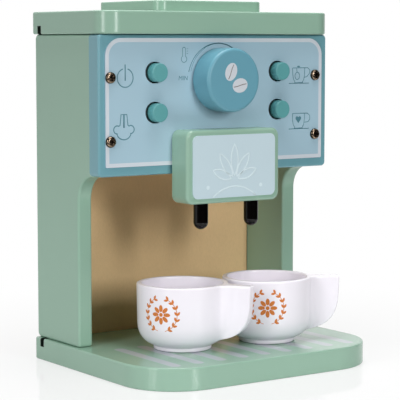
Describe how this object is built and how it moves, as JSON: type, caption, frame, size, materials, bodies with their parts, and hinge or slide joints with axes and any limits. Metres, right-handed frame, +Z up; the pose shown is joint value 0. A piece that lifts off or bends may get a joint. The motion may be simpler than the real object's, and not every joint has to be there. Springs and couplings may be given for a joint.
{
  "type": "toy coffee maker",
  "caption": "Painted wooden toy coffee maker with spring push buttons, a turning knob, a dispenser head with two spouts and a bay that holds white cups.",
  "frame": {"origin": "middle of the base board's underside", "axes": "+Z up, -Y towards the front, where the buttons and knob are, +X to the right of somebody facing the front"},
  "size_m": [0.186, 0.1544, 0.2443],
  "materials": {
    "green_paint": "satin paint on board",
    "teal_paint": "satin paint on board",
    "blue_paint": "printed satin board",
    "pale_paint": "printed satin board",
    "button_paint": "satin paint",
    "knob_paint": "satin paint",
    "natural_board": "bare fibreboard",
    "plain_wood": "bare wood",
    "spout_black": "gloss",
    "cup_white": "satin gloss",
    "bronze": "antique bronze",
    "steel": "zinc plated",
    "moulding": "matte"
  },
  "bodies": {
    "housing": {"base_board": "green_paint", "left_wall": "green_paint", "right_wall": "green_paint", "top_board": "green_paint", "warmer_plate": "green_paint", "dispenser_head": "green_paint", "back_panel": "natural_board", "mechanism_floor": "plain_wood", "front_board": "teal_paint", "control_plate": "blue_paint", "head_plate": "pale_paint", "power_button_spring": "steel", "steam_button_spring": "steel", "tea_button_spring": "steel", "coffee_button_spring": "steel", "left_spring_bracket": "moulding", "right_spring_bracket": "moulding", "left_spout": "spout_black", "right_spout": "spout_black", "plate_screws": "bronze", "head_screws": "steel", "bracket_screws": "steel", "base_screws": "steel", "base_dowels": "plain_wood", "top_dowels": "plain_wood", "warmer_dowels": "plain_wood"},
    "power_button": {"power_button": "button_paint"},
    "steam_button": {"steam_button": "button_paint"},
    "tea_button": {"tea_button": "button_paint"},
    "coffee_button": {"coffee_button": "button_paint"},
    "knob": {"control_knob": "knob_paint", "knob_shaft": "plain_wood", "knob_washer": "steel", "knob_screw": "steel"},
    "left_cup": {"left_cup": "cup_white"},
    "right_cup": {"right_cup": "cup_white"}
  },
  "joints": [
    {"name": "power_press", "type": "slide", "parent": "housing", "child": "power_button", "axis": [0, 1, 0], "range_m": [0, 0.004], "stiffness_N_per_m": 250, "springref_m": -0.005, "deforming": ["power_button_spring"]},
    {"name": "steam_press", "type": "slide", "parent": "housing", "child": "steam_button", "axis": [0, 1, 0], "range_m": [0, 0.004], "stiffness_N_per_m": 250, "springref_m": -0.005, "deforming": ["steam_button_spring"]},
    {"name": "tea_press", "type": "slide", "parent": "housing", "child": "tea_button", "axis": [0, 1, 0], "range_m": [0, 0.004], "stiffness_N_per_m": 250, "springref_m": -0.005, "deforming": ["tea_button_spring"]},
    {"name": "coffee_press", "type": "slide", "parent": "housing", "child": "coffee_button", "axis": [0, 1, 0], "range_m": [0, 0.004], "stiffness_N_per_m": 250, "springref_m": -0.005, "deforming": ["coffee_button_spring"]},
    {"name": "knob_turn", "type": "hinge", "parent": "housing", "child": "knob", "pos_m": [0, -0.01115, 0.192], "axis": [0, -1, 0], "continuous": true},
    {"name": "left_cup_lift", "type": "slide", "parent": "housing", "child": "left_cup", "axis": [0, -0.9397, 0.342], "range_m": [0, 0.13]},
    {"name": "right_cup_lift", "type": "slide", "parent": "housing", "child": "right_cup", "axis": [0, -0.9397, 0.342], "range_m": [0, 0.13]}
  ]
}
